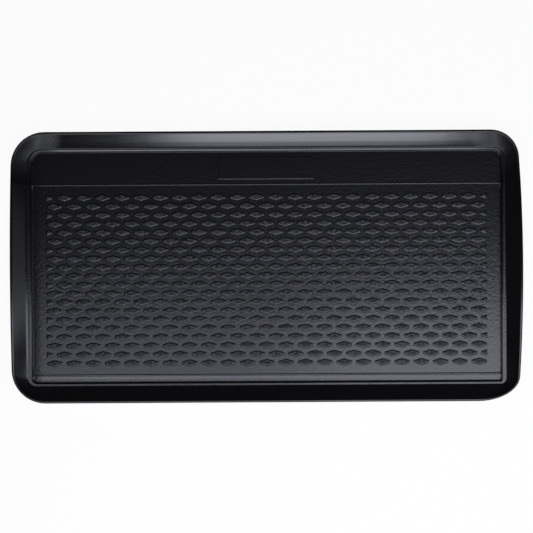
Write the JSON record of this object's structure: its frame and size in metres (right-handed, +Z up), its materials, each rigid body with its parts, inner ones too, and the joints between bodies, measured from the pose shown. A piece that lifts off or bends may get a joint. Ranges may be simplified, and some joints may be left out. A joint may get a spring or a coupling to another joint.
{
  "type": "car boot liner",
  "caption": "Shallow rectangular tray that lines a car's boot: a floor with rows of raised stretched hexagons, a low step and a flared border with rounded corners.",
  "frame": {"origin": "middle of the flat underside that rests on the boot floor, below the middle of the whole outline", "axes": "+X across the car along the liner's long side, +Y towards the edge with the blank plate, +Z up"},
  "size_m": [1, 0.529, 0.036],
  "materials": {
    "liner_sheet": "black moulded polyurethane, satin on the floor with a fine grain, smoother and glossier on the border"
  },
  "bodies": {
    "root": {"boot_liner": "liner_sheet"}
  },
  "joints": []
}
